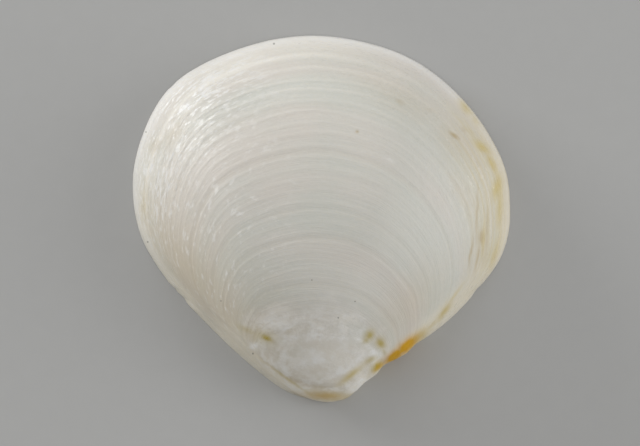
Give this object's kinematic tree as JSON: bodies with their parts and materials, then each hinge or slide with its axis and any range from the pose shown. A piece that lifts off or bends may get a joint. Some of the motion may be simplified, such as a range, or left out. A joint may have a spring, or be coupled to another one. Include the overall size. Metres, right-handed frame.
{
  "type": "venus clam shell valve",
  "caption": "Left valve of a small venus clam: a domed shell with fine growth ridges, a swollen beak, and a hinge plate with teeth inside.",
  "frame": {"origin": "middle of the valve's box, on the plane of its margin, which it rests on", "axes": "+X to the front end of the valve, +Y to its free lower margin, +Z out of its back"},
  "size_m": [0.0238, 0.0232, 0.0066],
  "materials": {
    "shell": "chalky white shell with a soft polish"
  },
  "bodies": {
    "root": {"left_valve": "shell"}
  },
  "joints": []
}
